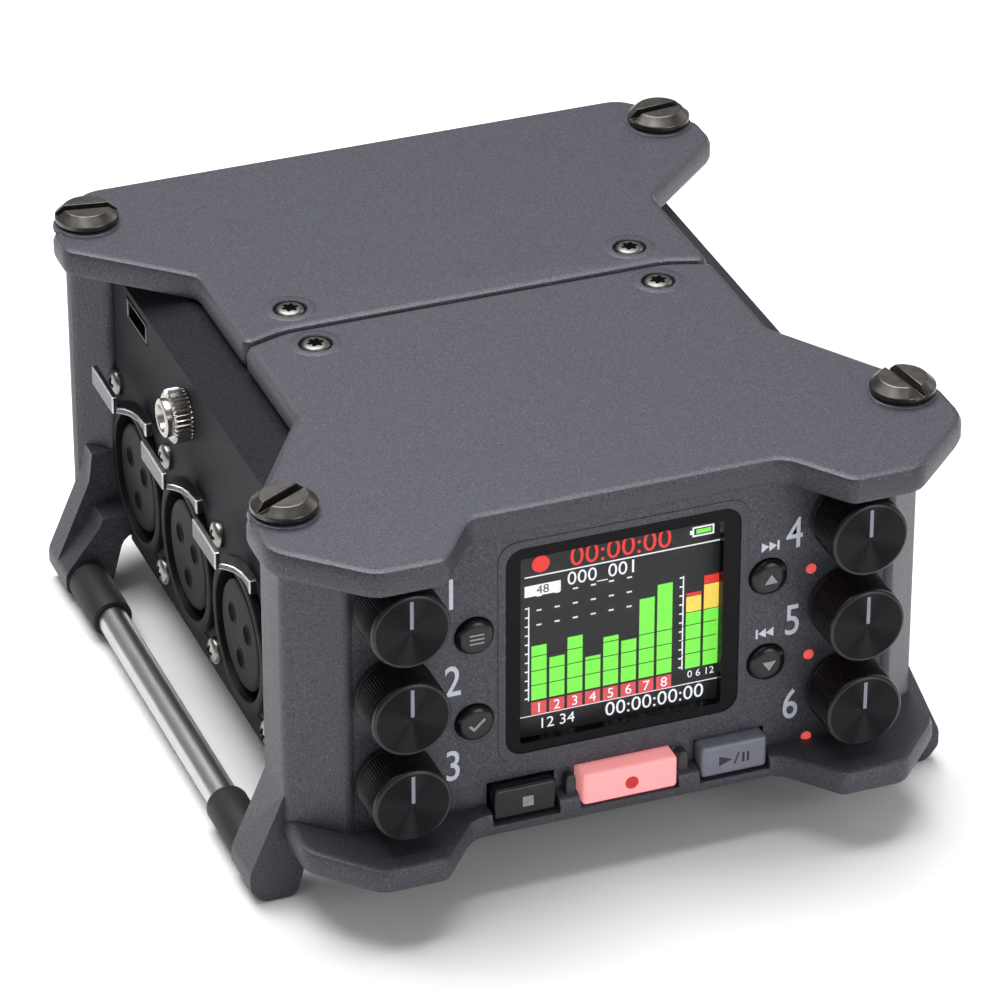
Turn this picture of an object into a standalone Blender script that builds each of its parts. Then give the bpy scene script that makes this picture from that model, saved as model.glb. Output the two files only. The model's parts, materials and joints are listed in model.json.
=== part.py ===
# Portable six-input field recorder, modelled in millimetres and built in metres.
# +X is the right side, the front panel faces -Y, +Z is up, and z = 0 is the surface it stands on.
import math

import bmesh
import bpy
from mathutils import Matrix

MM = 0.001
GAP = 0.3                      # between pieces that touch

# cast shell
DEPTH = 118.8                  # front ear to back edge
FRONT = -DEPTH / 2
BACK = DEPTH / 2
TOP_Z = 60.8                   # upper face of the top plate
PLATE_T = 4.4                  # top plate thickness
FLOOR_Z = 9.2                  # underside of the lower plates
LOW_T = 4.0                    # lower plate thickness
EDGE_R = 1.2                   # rounding of the cast edges
EAR_HALF = 51.0                # half the width across the ears
EAR_FRONT = 39.5               # outer end of an ear's front edge
EAR_INNER = 29.3               # inner end of an ear's front edge
NOTCH_HALF = 22.7              # half the width of the notch between the front ears
NOTCH_D = 9.1                  # depth of that notch
EAR_SIDE_F = 11.0              # chamfer of the front ears, along Y
EAR_SIDE_L = 8.8               # straight side of the front ears
WAIST_HALF = 35.6              # half the width of the plate at its waist
WAIST_SET_F = 44.1
WAIST_F = FRONT + WAIST_SET_F  # front end of the waist
WAIST_SET_R = 31.6
WAIST_R = BACK - WAIST_SET_R  # rear end of the waist
SEAM_Y = 8.2                   # joint between the two top plates
SEAM_BEND = 2.2                # how far its ends turn forward
SEAM_FLAT = 29.0               # half the straight part of that joint
SEAM_GAP = 0.4
REAR_EAR_D = 17.4
REAR_EAR_Y = BACK - REAR_EAR_D  # where the rear ears start
REAR_EAR_L = 6.0               # straight side of the rear ears
REAR_EDGE = 43.0               # half the straight back edge
WALL_SET = 10.75
WALL_Y = FRONT + WALL_SET  # front panel face
WALL_T = 3.0
COL_X = 47.2                   # outer face of the corner columns
COL_IN = 38.2                  # inner face of the corner columns
COL_CHAMFER = 6.65
COL_F = WALL_Y + COL_CHAMFER  # where the front column's chamfer starts
COL_D = 15.25
COL_B = WALL_Y + COL_D  # back of the front columns
REAR_SET = 2.4
REAR_WALL = BACK - REAR_SET  # back face of the rear wall
REAR_COL_D = 8.6
REAR_COL = REAR_WALL - REAR_COL_D  # front of the rear columns
COL_SINK = 1.65                # columns into the plates
WALL_SINK = 1.45               # walls into the plates
LOW_LIP = 2.6                  # lower plate past the panel, between the ears
ARM_SET_F = 6.85
ARM_FY = WALL_Y + ARM_SET_F  # front arm, front face
ARM_T = 8.0                    # front arm thickness
ARM_SET_R = 13.0
ARM_RY = REAR_WALL - ARM_SET_R  # rear arm, front face
ARM_RT = 8.8
ARM_TOP = 13.0                 # how far the arms run up the columns

# side rails
RAIL_X = 48.9
RAIL_Z = 3.4
RAIL_R = 2.3
SLEEVE_R = 3.1
SLEEVE_L = 12.2
RAIL_SEAT = 3.4                # rail end inside each arm

# side panels and sockets
SIDE_X = 42.0
SIDE_T = 2.0
RIDGE_Z = 53.2
FLANGE_IN = 21.8
SOCKET_SET = 12.2
SOCKET_END = REAR_COL - SOCKET_SET  # rearmost socket
SOCKET_PITCH = 23.6
SOCKET_Z = 24.0
SOCKET_RING = 11.4
SOCKET_BODY = 10.6
SOCKET_GROOVE = 9.7
SOCKET_CORE = 8.2
SOCKET_DEPTH = 13.0
SOCKET_PIN_R = 1.5
SOCKET_PIN_C = 3.8
LATCH_T = 1.0
LATCH_OUT = 4.4
LATCH_TAB = 10.0
LATCH_H = 3.4

# front panel controls
KNOB_X = 33.5
KNOB_Z = 34.9
KNOB_PITCH = 13.9
KNOB_R = 5.7
KNOB_L = 7.4
SHAFT_R = 2.2
BUTTON_X = 21.7
BUTTON_Z = (41.2, 27.3)
BUTTON_R = 2.75
BUTTON_OUT = 1.2
KEY_Z = 13.9
KEY_H = 5.0
KEYS = {"stop_key": (-14.9, 9.4, 2.0), "record_key": (0.5, 14.2, 2.7), "play_key": (16.3, 10.0, 2.3)}
LCD_X = 0.2
LCD_Z = 36.9
WINDOW_W = 34.2
WINDOW_H = 32.6
WINDOW_T = 1.4
LCD_SIDE = 31.4
LCD_T = 2.2
BOARD_T = 1.6

# fasteners
THUMB_IN_F = 5.6
THUMB_IN_R = 5.8
THUMB_SET_F = 19.8
THUMB_SET_R = 10.1
THUMB = ((EAR_HALF - THUMB_IN_F, FRONT + THUMB_SET_F), (EAR_HALF - THUMB_IN_R, BACK - THUMB_SET_R))
THUMB_R = 4.7
THUMB_TOP = 3.4
THUMB_H = 2.1
SLOT_TURN = {("left", "front"): 28, ("right", "front"): -82, ("left", "rear"): -10, ("right", "rear"): 6}
PAD_R = 4.9
PAD_H = 0.4
STAR_X = 26.1
STAR_SET_F = 5.45
STAR_SET_R = 5.55
STAR_Y = (SEAM_Y - STAR_SET_F, SEAM_Y + STAR_SET_R)
STAR_R = 2.9
STAR_SEAT = 3.35

# underside and inside
DOOR_X = 26.7
DOOR_L = 59.4
DOOR_SET = 3.2
DOOR_Y = (COL_B + DOOR_SET, COL_B + DOOR_SET + DOOR_L)
DOOR_T = 1.8
CELL_R = 7.0
CELL_L = 48.0
CELL_PITCH = 14.6
MAIN_Z = 40.0

# ports and doors
LINE_SET = 22.2
LINE_Y = SOCKET_END - LINE_SET
LINE_Z = 46.6
LINE_R = 3.4
LINE_OUT = 4.6                 # line output barrel past the panel
PHONES_OUT = 1.0
JACK_D = 9.0                   # jack bodies behind the panel
JACK_BORE_R = 1.8
JACK_BORE_D = 7.0
USB_SET = 11.9
USB_Y = REAR_COL - USB_SET
USB_Z = 50.2
USB_W = 9.0
USB_H = 3.2
USB_D = 9.0
USB_SLOT_D = 6.5
USB_WALL = 0.4
WHEEL_SET = 24.4
WHEEL_Y = COL_B + WHEEL_SET
WHEEL_R = 4.4
WHEEL_L = 5.0
SWITCH_SET = 14.4
SWITCH_Y = REAR_COL - SWITCH_SET
SWITCH_Z = 47.0
SWITCH_W = 6.0
SWITCH_H = 3.0
SWITCH_OUT = 1.6
SWITCH_TRAVEL = 3.0
CARD_W = 30.0
CARD_H = 13.0
CARD_Z = 27.0
CARD_T = 1.2
SLOT_W = 26.0
SLOT_H = 8.0

for old in list(bpy.data.objects):
    bpy.data.objects.remove(old, do_unlink=True)
recorder = bpy.data.collections.new("portable_field_recorder")
cutters = bpy.data.collections.new("cutters")
bpy.context.scene.collection.children.link(recorder)
bpy.context.scene.collection.children.link(cutters)
cutters.hide_render = True

LOOKS = {
    "casting": ((0.082, 0.084, 0.090), 0.5, 0.55),
    "black": ((0.012, 0.012, 0.013), 0.0, 0.45),
    "steel": ((0.55, 0.55, 0.56), 1.0, 0.28),
    "nickel": ((0.30, 0.29, 0.28), 1.0, 0.32),
    "rubber": ((0.015, 0.015, 0.016), 0.0, 0.7),
    "glass": ((0.006, 0.006, 0.009), 0.0, 0.08),
    "board": ((0.02, 0.10, 0.045), 0.0, 0.5),
    "red": ((0.85, 0.25, 0.27), 0.0, 0.35),
    "grey": ((0.33, 0.34, 0.38), 0.0, 0.35),
    "cell": ((0.45, 0.32, 0.12), 0.4, 0.4),
}


def finish(obj, look, smooth=35.0):
    colour, metallic, rough = LOOKS[look]
    material = bpy.data.materials.new(obj.name)
    material.use_nodes = True
    shader = material.node_tree.nodes["Principled BSDF"]
    shader.inputs["Base Color"].default_value = (*colour, 1.0)
    shader.inputs["Metallic"].default_value = metallic
    shader.inputs["Roughness"].default_value = rough
    obj.data.materials.clear()
    obj.data.materials.append(material)
    obj.data.shade_smooth()
    obj.data.set_sharp_from_angle(angle=math.radians(smooth))
    return obj


def tool(obj):
    obj.hide_render = True
    obj.display_type = "WIRE"
    recorder.objects.unlink(obj)
    cutters.objects.link(obj)
    return obj


def combine(obj, other, how="DIFFERENCE"):
    step = obj.modifiers.new(other.name, "BOOLEAN")
    step.operation = how
    step.object = tool(other)
    return obj


def rounded(corners, steps=5):
    """Points of a closed outline whose corners (x, y, radius) become arcs."""
    points = []
    count = len(corners)
    for i, (x, y, radius) in enumerate(corners):
        px, py, _ = corners[i - 1]
        nx, ny, _ = corners[(i + 1) % count]
        ax, ay = px - x, py - y
        bx, by = nx - x, ny - y
        la, lb = math.hypot(ax, ay), math.hypot(bx, by)
        ax, ay, bx, by = ax / la, ay / la, bx / lb, by / lb
        half = math.acos(max(-1.0, min(1.0, ax * bx + ay * by))) / 2
        if radius <= 0 or half > math.radians(88):
            points.append((x, y))
            continue
        reach = min(radius / math.tan(half), 0.48 * la, 0.48 * lb)
        radius = reach * math.tan(half)
        mx, my = ax + bx, ay + by
        ml = math.hypot(mx, my)
        cx, cy = x + mx / ml * radius / math.sin(half), y + my / ml * radius / math.sin(half)
        first = math.atan2(y + ay * reach - cy, x + ax * reach - cx)
        last = math.atan2(y + by * reach - cy, x + bx * reach - cx)
        swing = (last - first + math.pi) % (2 * math.pi) - math.pi
        number = max(1, round(steps * abs(swing) / (math.pi / 2)))
        for k in range(number + 1):
            angle = first + swing * k / number
            points.append((cx + radius * math.cos(angle), cy + radius * math.sin(angle)))
    return points


def mirrored(half):
    """A symmetric outline from its right half, which runs from the middle back to the middle."""
    return half + [(-x, y, r) for x, y, r in reversed(half)]


TURNS = {
    "Z": Matrix.Identity(4),
    "Y": Matrix.Rotation(math.radians(90), 4, "X"),
    "X": Matrix(((0, 0, 1, 0), (1, 0, 0, 0), (0, 1, 0, 0), (0, 0, 0, 1))),
}


def slab(name, outline, low, high, along="Z", at=(0, 0, 0)):
    """A flat outline with thickness along an axis. Y outlines are (x, z), X outlines (y, z)."""
    curve = bpy.data.curves.new(name, "CURVE")
    curve.dimensions = "2D"
    curve.fill_mode = "BOTH"
    curve.extrude = (high - low) / 2 * MM
    spline = curve.splines.new("POLY")
    spline.points.add(len(outline) - 1)
    for point, (x, y) in zip(spline.points, outline):
        point.co = (x * MM, y * MM, 0, 1)
    spline.use_cyclic_u = True
    guide = bpy.data.objects.new(name + "_outline", curve)
    recorder.objects.link(guide)
    bpy.context.view_layer.update()
    mesh = bpy.data.meshes.new_from_object(guide.evaluated_get(bpy.context.evaluated_depsgraph_get()))
    bpy.data.objects.remove(guide, do_unlink=True)
    middle = (low + high) / 2 * MM
    shift = {"Z": (0, 0, middle), "Y": (0, middle, 0), "X": (middle, 0, 0)}[along]
    mesh.transform(Matrix.Translation(shift) @ TURNS[along])
    work = bmesh.new()
    work.from_mesh(mesh)
    bmesh.ops.remove_doubles(work, verts=work.verts, dist=1e-6)
    bmesh.ops.dissolve_limit(work, angle_limit=0.002, verts=work.verts, edges=work.edges)
    bmesh.ops.recalc_face_normals(work, faces=work.faces)
    bmesh.ops.translate(work, verts=work.verts, vec=[-v * MM for v in at])
    work.to_mesh(mesh)
    work.free()
    mesh.name = name
    obj = bpy.data.objects.new(name, mesh)
    obj.location = [v * MM for v in at]
    recorder.objects.link(obj)
    return obj


def block(name, x, y, z, at=None):
    """A box between two values on each axis, with its origin at the middle or at a given point."""
    middle = [(x[0] + x[1]) / 2, (y[0] + y[1]) / 2, (z[0] + z[1]) / 2]
    at = at or middle
    mesh = bpy.data.meshes.new(name)
    work = bmesh.new()
    size = Matrix.Diagonal(((x[1] - x[0]) * MM, (y[1] - y[0]) * MM, (z[1] - z[0]) * MM, 1))
    place = Matrix.Translation([(m - a) * MM for m, a in zip(middle, at)])
    bmesh.ops.create_cube(work, size=1.0, matrix=place @ size)
    work.to_mesh(mesh)
    work.free()
    obj = bpy.data.objects.new(name, mesh)
    obj.location = [v * MM for v in at]
    recorder.objects.link(obj)
    return obj


AXES = {
    "Z": (0, 0, 0),
    "-Y": (math.radians(90), 0, 0),
    "X": (0, math.radians(90), 0),
    "-X": (0, math.radians(-90), 0),
}


def turned(name, profile, at, along="Z", steps=18):
    """A profile of (radius, height) from the top of the axis to its foot, turned about an axis."""
    mesh = bpy.data.meshes.new(name)
    points = [(r * MM, 0, h * MM) for r, h in profile]
    mesh.from_pydata(points, [(i, i + 1) for i in range(len(points) - 1)], [])
    obj = bpy.data.objects.new(name, mesh)
    obj.location = [v * MM for v in at]
    obj.rotation_euler = AXES[along]
    recorder.objects.link(obj)
    screw = obj.modifiers.new("turn", "SCREW")
    screw.axis = "Z"
    screw.steps = steps
    screw.render_steps = steps
    screw.use_merge_vertices = True
    screw.merge_threshold = 1e-5
    screw.use_smooth_shade = True
    return obj


def hole(name, radius, at, length, along="Z", steps=12):
    """A round cutter centred on a point."""
    profile = [(0, length / 2), (radius, length / 2), (radius, -length / 2), (0, -length / 2)]
    return turned(name, profile, at, along, steps)


def ease(obj, width, segments=2):
    step = obj.modifiers.new("edges", "BEVEL")
    step.width = width * MM
    step.segments = segments
    step.limit_method = "ANGLE"
    step.angle_limit = math.radians(50)
    return obj


def weld(obj):
    """Join points that the cuts left on top of each other."""
    step = obj.modifiers.new("weld", "WELD")
    step.merge_threshold = 0.002 * MM
    return obj


PLATE_Z = TOP_Z - PLATE_T
NOTCH_Y = FRONT + NOTCH_D
SIDES = (("left", -1), ("right", 1))


def arm(name, side, y, depth, top):
    """A leg from the corner column out and down to the rail, as an outline across the recorder."""
    low = RAIL_Z - SLEEVE_R - 0.3
    points = [
        (COL_IN + 1.0, FLOOR_Z + 1.0, 0),
        (COL_X - 4.2, FLOOR_Z + 0.4, 2.5),
        (RAIL_X - 3.4, low, 1.6),
        (RAIL_X + 1.6, low, 1.6),
        (RAIL_X + SLEEVE_R + 0.3, low + 2.2, 1.5),
        (RAIL_X + SLEEVE_R + 0.3, RAIL_Z + 1.4, 2.0),
        (COL_X - 0.4, FLOOR_Z + 0.64 * top, 2.5),
        (COL_X - 1.0, FLOOR_Z + top, 0),
        (COL_IN + 1.0, FLOOR_Z + top, 0),
    ]
    return slab(name, rounded([(side * x, z, r) for x, z, r in points], 4), y, y + depth, "Y")


# front casting: top plate, panel wall, columns, lower plate and arms in one piece
half = [
    (NOTCH_HALF, NOTCH_Y, 4.0),
    (EAR_INNER, FRONT, 2.0),
    (EAR_FRONT, FRONT, 4.5),
    (EAR_HALF, FRONT + EAR_SIDE_F, 6.0),
    (EAR_HALF, FRONT + EAR_SIDE_F + EAR_SIDE_L, 4.5),
    (WAIST_HALF, WAIST_F, 2.5),
    (WAIST_HALF, SEAM_Y - SEAM_BEND - SEAM_GAP, 1.3),
    (SEAM_FLAT, SEAM_Y - SEAM_GAP, 6.0),
]
front = slab("front_frame", rounded(mirrored(half), 6), PLATE_Z, TOP_Z)
ease(front, EDGE_R)
combine(front, block("panel_wall", (-COL_X + 6.5, COL_X - 6.5), (WALL_Y, WALL_Y + WALL_T),
                     (FLOOR_Z + WALL_SINK, TOP_Z - WALL_SINK)), "UNION")
low_half = [
    (NOTCH_HALF, WALL_Y - LOW_LIP, 4.0),
    (EAR_INNER, FRONT, 2.0),
    (EAR_FRONT - 0.5, FRONT, 3.5),
    (COL_X + 0.2, FRONT + EAR_SIDE_F - 2.0, 5.0),
    (COL_X + 0.2, COL_B - 1.0, 2.0),
    (COL_IN - 1.5, COL_B + 1.4, 1.3),
]
lower = ease(slab("front_lower", rounded(mirrored(low_half), 6), FLOOR_Z, FLOOR_Z + LOW_T), EDGE_R)
combine(front, lower, "UNION")
for label, side in SIDES:
    plan = [
        (COL_IN, WALL_Y + 0.6, 0),
        (COL_IN + 2.0, WALL_Y - 0.6, 1.5),
        (COL_X, COL_F, 2.5),
        (COL_X, COL_B, 0.8),
        (COL_IN, COL_B, 0.8),
    ]
    column = slab(label + "_front_column", rounded([(side * x, y, r) for x, y, r in plan], 4),
                  FLOOR_Z + COL_SINK, TOP_Z - COL_SINK)
    combine(front, column, "UNION")
    combine(front, arm(label + "_front_arm", side, ARM_FY, ARM_T, ARM_TOP), "UNION")

# rear casting: top plate, rear wall, columns, lower plate and arms in one piece
half = [
    (SEAM_FLAT, SEAM_Y, 6.0),
    (WAIST_HALF, SEAM_Y - SEAM_BEND, 1.3),
    (WAIST_HALF, WAIST_R, 2.5),
    (EAR_HALF, REAR_EAR_Y, 3.0),
    (EAR_HALF, REAR_EAR_Y + REAR_EAR_L, 3.5),
    (REAR_EDGE, BACK, 5.0),
]
rear = slab("rear_frame", rounded(mirrored(half), 6), PLATE_Z, TOP_Z)
ease(rear, EDGE_R)
combine(rear, block("rear_wall", (-COL_X + 6.0, COL_X - 6.0), (REAR_WALL - WALL_T, REAR_WALL),
                    (FLOOR_Z + WALL_SINK, TOP_Z - WALL_SINK)), "UNION")
low_half = [
    (COL_IN - 1.5, ARM_RY, 1.3),
    (COL_X, REAR_COL + 2.0, 2.0),
    (COL_X, BACK - 6.0, 4.0),
    (REAR_EDGE - 2.5, BACK, 4.0),
]
lower = ease(slab("rear_lower", rounded(mirrored(low_half), 6), FLOOR_Z, FLOOR_Z + LOW_T), EDGE_R)
combine(rear, lower, "UNION")
for label, side in SIDES:
    plan = [
        (COL_IN, REAR_COL, 0.6),
        (COL_X - 4.4, REAR_COL, 2.0),
        (COL_X, REAR_COL + 4.4, 2.5),
        (COL_X, REAR_WALL - 1.4, 2.5),
        (COL_X - 3.0, REAR_WALL + 0.6, 1.5),
        (COL_IN, REAR_WALL + 0.6, 0),
    ]
    column = slab(label + "_rear_column", rounded([(side * x, y, r) for x, y, r in plan], 4),
                  FLOOR_Z + COL_SINK, TOP_Z - COL_SINK)
    combine(rear, column, "UNION")
    combine(rear, arm(label + "_rear_arm", side, ARM_RY, REAR_COL + GAP - ARM_RY, LOW_T), "UNION")
    combine(rear, arm(label + "_rear_brace", side, REAR_COL, ARM_RY + ARM_RT - REAR_COL, ARM_TOP), "UNION")

# screw pads, screw holes and rail seats in both castings
for casting, (tx, ty), sy, ry in ((front, THUMB[0], STAR_Y[0], ARM_FY + ARM_T),
                                  (rear, THUMB[1], STAR_Y[1], ARM_RY)):
    for label, side in SIDES:
        where = f"{label}_{casting.name}"
        pad = [(0, PAD_H), (PAD_R - 0.5, PAD_H), (PAD_R, PAD_H - 0.3), (PAD_R + 0.2, -0.6), (0, -0.6)]
        combine(casting, turned("pad_" + where, pad, (side * tx, ty, TOP_Z)), "UNION")
        combine(casting, hole("bolt_" + where, 1.7, (side * tx, ty, TOP_Z), 2 * PLATE_T - 1.0))
        combine(casting, hole("seat_" + where, STAR_SEAT, (side * STAR_X, sy, TOP_Z), 1.8, steps=16))
        combine(casting, hole("star_" + where, 1.6, (side * STAR_X, sy, TOP_Z - 2), 12))
        seat_l = 2 * RAIL_SEAT + 2 * GAP
        combine(casting, hole("rail_" + where, RAIL_R + GAP, (side * RAIL_X, ry, RAIL_Z), seat_l, "-Y"))

# panel openings
combine(front, block("lcd_opening", (LCD_X - WINDOW_W / 2 - GAP, LCD_X + WINDOW_W / 2 + GAP),
                     (WALL_Y - 1, WALL_Y + 4),
                     (LCD_Z - WINDOW_H / 2 - GAP, LCD_Z + WINDOW_H / 2 + GAP)))
knob_spots = []
for column, side in enumerate((-1, 1)):
    for row in range(3):
        knob_spots.append((3 * column + row + 1, side * KNOB_X, KNOB_Z + (1 - row) * KNOB_PITCH))
for number, x, z in knob_spots:
    combine(front, hole(f"shaft_hole_{number}", SHAFT_R + GAP, (x, WALL_Y, z), 9, "-Y"))
button_spots = {
    "menu_button": (-BUTTON_X, BUTTON_Z[0]),
    "enter_button": (-BUTTON_X, BUTTON_Z[1]),
    "up_button": (BUTTON_X, BUTTON_Z[0]),
    "down_button": (BUTTON_X, BUTTON_Z[1]),
}
for name, (x, z) in button_spots.items():
    combine(front, hole(name + "_hole", BUTTON_R + GAP, (x, WALL_Y, z), 9, "-Y", 16))
for name, (x, width, out) in KEYS.items():
    combine(front, block(name + "_hole", (x - width / 2 - GAP, x + width / 2 + GAP),
                         (WALL_Y - 4, WALL_Y + 4.6),
                         (KEY_Z - KEY_H / 2 - GAP, KEY_Z + KEY_H / 2 + GAP)))
finish(weld(front), "casting")

# card slot in the rear wall
combine(rear, block("card_slot", (-SLOT_W / 2, SLOT_W / 2), (REAR_WALL - 2 * WALL_T, REAR_WALL + 1),
                    (CARD_Z - SLOT_H / 2, CARD_Z + SLOT_H / 2)))
finish(weld(rear), "casting")

# side panels with their top flanges
socket_ys = [(k, SOCKET_END - (2 - k) * SOCKET_PITCH) for k in range(3)]
for label, side in SIDES:
    shape = [
        (SIDE_X, FLOOR_Z + LOW_T + GAP), (SIDE_X, RIDGE_Z), (WAIST_HALF + 0.8, PLATE_Z - GAP),
        (FLANGE_IN, PLATE_Z - GAP), (FLANGE_IN, PLATE_Z - GAP - SIDE_T),
        (WAIST_HALF + 0.2, PLATE_Z - GAP - SIDE_T),
        (SIDE_X - SIDE_T, RIDGE_Z - 1.0), (SIDE_X - SIDE_T, FLOOR_Z + LOW_T + GAP),
    ]
    panel = slab(label + "_side_panel", [(side * x, z) for x, z in shape], COL_B + GAP, REAR_COL - GAP, "Y")
    for k, y in socket_ys:
        spot = (side * SIDE_X, y, SOCKET_Z)
        combine(panel, hole(f"{label}_socket_{k}", SOCKET_BODY + GAP, spot, 8, "X", 20))
    combine(panel, hole(label + "_jack", LINE_R + GAP, (side * SIDE_X, LINE_Y, LINE_Z), 8, "X", 16))
    for y in STAR_Y:
        combine(panel, hole(f"{label}_star_{y}", 1.6, (side * STAR_X, y, PLATE_Z), 12))
    if side < 0:
        combine(panel, block("usb_hole", (-SIDE_X - 2, -SIDE_X + 4),
                             (USB_Y - USB_W / 2 - GAP, USB_Y + USB_W / 2 + GAP),
                             (USB_Z - USB_H / 2 - GAP, USB_Z + USB_H / 2 + GAP)))
    else:
        combine(panel, hole("wheel_hole", SHAFT_R + GAP, (SIDE_X, WHEEL_Y, LINE_Z), 8, "X"))
        combine(panel, block("switch_hole", (SIDE_X - 4, SIDE_X + 2),
                             (SWITCH_Y - SWITCH_W / 2 - GAP, SWITCH_Y + SWITCH_W / 2 + SWITCH_TRAVEL + GAP),
                             (SWITCH_Z - SWITCH_H / 2 - GAP, SWITCH_Z + SWITCH_H / 2 + GAP)))
    finish(panel, "black")

# base plate between the lower plates, with the battery opening, and its hinged door
base = block("base_plate", (-SIDE_X, SIDE_X), (COL_B + 1.4 + GAP, ARM_RY - GAP), (FLOOR_Z, FLOOR_Z + LOW_T))
combine(base, block("battery_opening", (-DOOR_X - GAP, DOOR_X + GAP), (DOOR_Y[0] - GAP, DOOR_Y[1] + GAP),
                    (FLOOR_Z - 2, FLOOR_Z + LOW_T + 2)))
finish(base, "black")
hinge_y, hinge_z = DOOR_Y[1] - DOOR_T / 2, FLOOR_Z + DOOR_T / 2
edge = [(hinge_y + DOOR_T / 2 * math.cos(a), hinge_z + DOOR_T / 2 * math.sin(a))
        for a in [math.radians(-90 + 22.5 * k) for k in range(9)]]
door = slab("battery_door", [(DOOR_Y[0], FLOOR_Z), *edge, (DOOR_Y[0], FLOOR_Z + DOOR_T)],
            -DOOR_X, DOOR_X, "X", (0, hinge_y, hinge_z))
finish(door, "black")

# cells, boards and screen
cell_z = FLOOR_Z + DOOR_T + GAP + CELL_R
for k in range(4):
    y = (DOOR_Y[0] + DOOR_Y[1]) / 2 + (k - 1.5) * CELL_PITCH
    profile = [(0, CELL_L / 2 + 1.2), (2.6, CELL_L / 2 + 1.2), (2.6, CELL_L / 2), (CELL_R, CELL_L / 2),
               (CELL_R, -CELL_L / 2), (0, -CELL_L / 2)]
    finish(turned(f"cell_{k + 1}", profile, (0, y, cell_z), "X" if k % 2 else "-X", 14), "cell")
finish(block("main_board", (-SIDE_X + SIDE_T + GAP, SIDE_X - SIDE_T - GAP), (COL_B - 1.0 + 2, REAR_COL - 2),
             (MAIN_Z, MAIN_Z + BOARD_T)), "board")
board_y = WALL_Y + WALL_T + 2.2
finish(block("control_board", (-COL_IN + 1, COL_IN - 1), (board_y, board_y + BOARD_T),
             (FLOOR_Z + LOW_T + 1, PLATE_Z - 2.6)), "board")
lcd_back = board_y - GAP
finish(block("lcd_module", (LCD_X - LCD_SIDE / 2, LCD_X + LCD_SIDE / 2), (lcd_back - LCD_T, lcd_back),
             (LCD_Z - LCD_SIDE / 2, LCD_Z + LCD_SIDE / 2)), "black")
window = block("lcd_window", (LCD_X - WINDOW_W / 2, LCD_X + WINDOW_W / 2),
               (WALL_Y + 0.2, WALL_Y + 0.2 + WINDOW_T),
               (LCD_Z - WINDOW_H / 2, LCD_Z + WINDOW_H / 2))
finish(window, "glass")

# input level knobs
for number, x, z in knob_spots:
    back = WALL_Y - 0.5
    shaft = back - board_y + GAP
    profile = [(0, KNOB_L), (KNOB_R - 0.6, KNOB_L), (KNOB_R, KNOB_L - 0.5), (KNOB_R, 0), (SHAFT_R, 0),
               (SHAFT_R, shaft), (0, shaft)]
    finish(turned(f"knob_{number}", profile, (x, back, z), "-Y"), "black")

# round buttons and transport keys
for name, (x, z) in button_spots.items():
    foot = -(WALL_T + 0.9)
    profile = [(0, BUTTON_OUT), (1.5, BUTTON_OUT - 0.15), (BUTTON_R - 0.5, BUTTON_OUT - 0.45),
               (BUTTON_R, BUTTON_OUT - 0.9), (BUTTON_R, foot), (0, foot)]
    finish(turned(name, profile, (x, WALL_Y, z), "-Y", 16), "black")
KEY_LOOKS = {"stop_key": "black", "record_key": "red", "play_key": "grey"}
for name, (x, width, out) in KEYS.items():
    key = block(name, (x - width / 2, x + width / 2), (WALL_Y - out, WALL_Y + WALL_T + 0.7),
                (KEY_Z - KEY_H / 2, KEY_Z + KEY_H / 2))
    finish(ease(key, 0.6), KEY_LOOKS[name])

# input sockets with their latch levers
for label, side in SIDES:
    for k, y in socket_ys:
        number = k + 1 if side < 0 else k + 4
        rim = GAP + 1.0
        profile = [(0, rim - 0.4), (SOCKET_CORE, rim - 0.4), (SOCKET_CORE, rim - 7.0),
                   (SOCKET_GROOVE, rim - 7.0), (SOCKET_GROOVE, rim), (SOCKET_RING - 0.5, rim),
                   (SOCKET_RING, rim - 0.5), (SOCKET_RING, GAP), (SOCKET_BODY, GAP),
                   (SOCKET_BODY, -SOCKET_DEPTH), (0, -SOCKET_DEPTH)]
        outwards = "X" if side > 0 else "-X"
        socket = turned(f"input_socket_{number}", profile, (side * SIDE_X, y, SOCKET_Z), outwards)
        for p, turn in enumerate((90, 210, 330)):
            dy = SOCKET_PIN_C * math.cos(math.radians(turn))
            dz = -SOCKET_PIN_C * math.sin(math.radians(turn))
            spot = (side * (SIDE_X + 1), y + dy, SOCKET_Z + dz)
            combine(socket, hole(f"pin_{number}_{p}", SOCKET_PIN_R, spot, 14, "X", 6))
        finish(socket, "black")
        low = SOCKET_Z + SOCKET_RING + 0.5
        root = SIDE_X + GAP
        ribbon = [
            (root, y - 7.0, 0), (root + LATCH_T, y - 7.0, 0), (root + LATCH_T, y - 4.5, 1.5),
            (root + LATCH_OUT, y - 1.0, 1.5), (root + LATCH_OUT, y - 1.0 + LATCH_TAB, 0.4),
            (root + LATCH_OUT - LATCH_T, y - 1.0 + LATCH_TAB, 0.4),
            (root + LATCH_OUT - LATCH_T, y - 0.4, 1.2),
            (root, y - 3.6, 1.2),
        ]
        lever = slab(f"latch_{number}", rounded([(side * a, b, r) for a, b, r in ribbon], 3),
                     low, low + LATCH_H, "Z", (side * root, y, low))
        finish(lever, "steel")

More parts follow.
